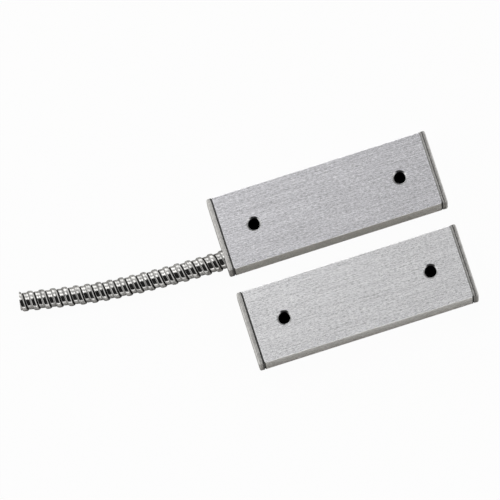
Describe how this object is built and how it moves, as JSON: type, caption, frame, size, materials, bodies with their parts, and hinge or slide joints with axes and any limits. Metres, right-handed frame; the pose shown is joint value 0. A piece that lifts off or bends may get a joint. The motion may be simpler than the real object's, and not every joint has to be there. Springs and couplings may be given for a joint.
{
  "type": "surface mount magnetic contact",
  "caption": "Surface-mount magnetic door contact: an aluminium switch half with a steel-armoured lead beside its aluminium magnet half.",
  "frame": {"origin": "middle of the pair of housings, on the plane they are fixed to", "axes": "+X along the housings, away from the lead; +Y from the magnet half to the switch half; +Z out of the fixing surface"},
  "size_m": [0.1824, 0.0734, 0.0127],
  "materials": {
    "brushed_aluminium": "brushed along the housing",
    "black_resin": "cured resin, satin",
    "glass": "clear with a green tint",
    "reed_alloy": "nickel iron, plated at the contacts",
    "soft_sleeve": "matt silicone",
    "solder": "dull bright",
    "white_insulation": "satin",
    "black_insulation": "satin",
    "tinned_copper": "tinned strands",
    "stainless_strip": "bright rolled strip",
    "plated_steel": "zinc plated",
    "red_plastic": "moulded",
    "magnet_alloy": "as cast and ground"
  },
  "bodies": {
    "root": {"switch_housing": "brushed_aluminium", "switch_lead_plate": "brushed_aluminium", "switch_blank_plate": "brushed_aluminium", "switch_potting": "black_resin", "reed_glass": "glass", "reed_blade_near": "reed_alloy", "reed_blade_far": "reed_alloy", "reed_sleeve": "soft_sleeve", "solder_joint_near": "solder", "solder_joint_far": "solder", "wire_near_insulation": "white_insulation", "wire_near_core": "tinned_copper", "wire_far_insulation": "black_insulation", "wire_far_core": "tinned_copper", "armour": "stainless_strip", "armour_collar": "plated_steel", "armour_bush": "red_plastic", "magnet_housing": "brushed_aluminium", "magnet_near_plate": "brushed_aluminium", "magnet_far_plate": "brushed_aluminium", "magnet_potting": "black_resin", "bar_magnet": "magnet_alloy"}
  },
  "joints": []
}
